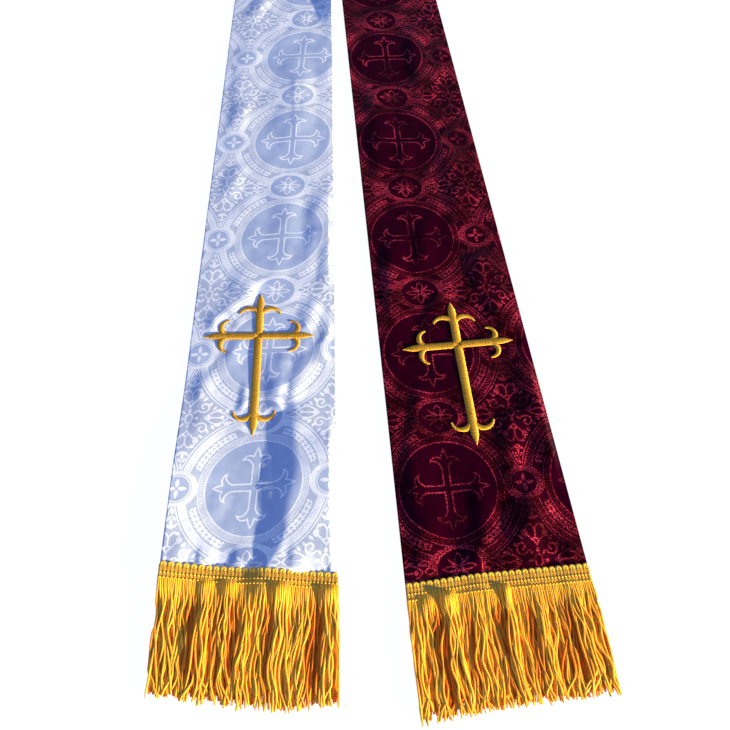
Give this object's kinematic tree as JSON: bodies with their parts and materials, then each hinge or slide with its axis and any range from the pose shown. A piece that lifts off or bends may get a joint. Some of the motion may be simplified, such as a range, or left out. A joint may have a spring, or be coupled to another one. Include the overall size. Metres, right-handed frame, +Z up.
{
  "type": "clerical stole",
  "caption": "Reversible clergy stole in white and burgundy brocade with gold embroidered crosses and fringed ends, folded at the neck and laid flat with one colour showing on each leg.",
  "frame": {"origin": "middle of the bounding box, on the surface that the stole lies on", "axes": "+Z up from the surface, +Y from the fringed ends to the fold at the back of the neck, +X towards the burgundy leg"},
  "size_m": [0.3066, 1.3413, 0.0107],
  "materials": {
    "white_brocade": "satin brocade, pearl white figure on a cool blue-white ground",
    "burgundy_brocade": "satin brocade, wine red figure on a near-black burgundy ground",
    "gold_embroidery": "satin stitch in glossy gold rayon thread",
    "gold_fringe": "glossy gold rayon braid and twisted strands"
  },
  "bodies": {
    "root": {"white_leg_top": "white_brocade", "white_leg_back": "burgundy_brocade", "burgundy_leg_top": "burgundy_brocade", "burgundy_leg_back": "white_brocade", "cross_white": "gold_embroidery", "cross_burgundy": "gold_embroidery", "fringe_white": "gold_fringe", "fringe_burgundy": "gold_fringe"}
  },
  "joints": []
}
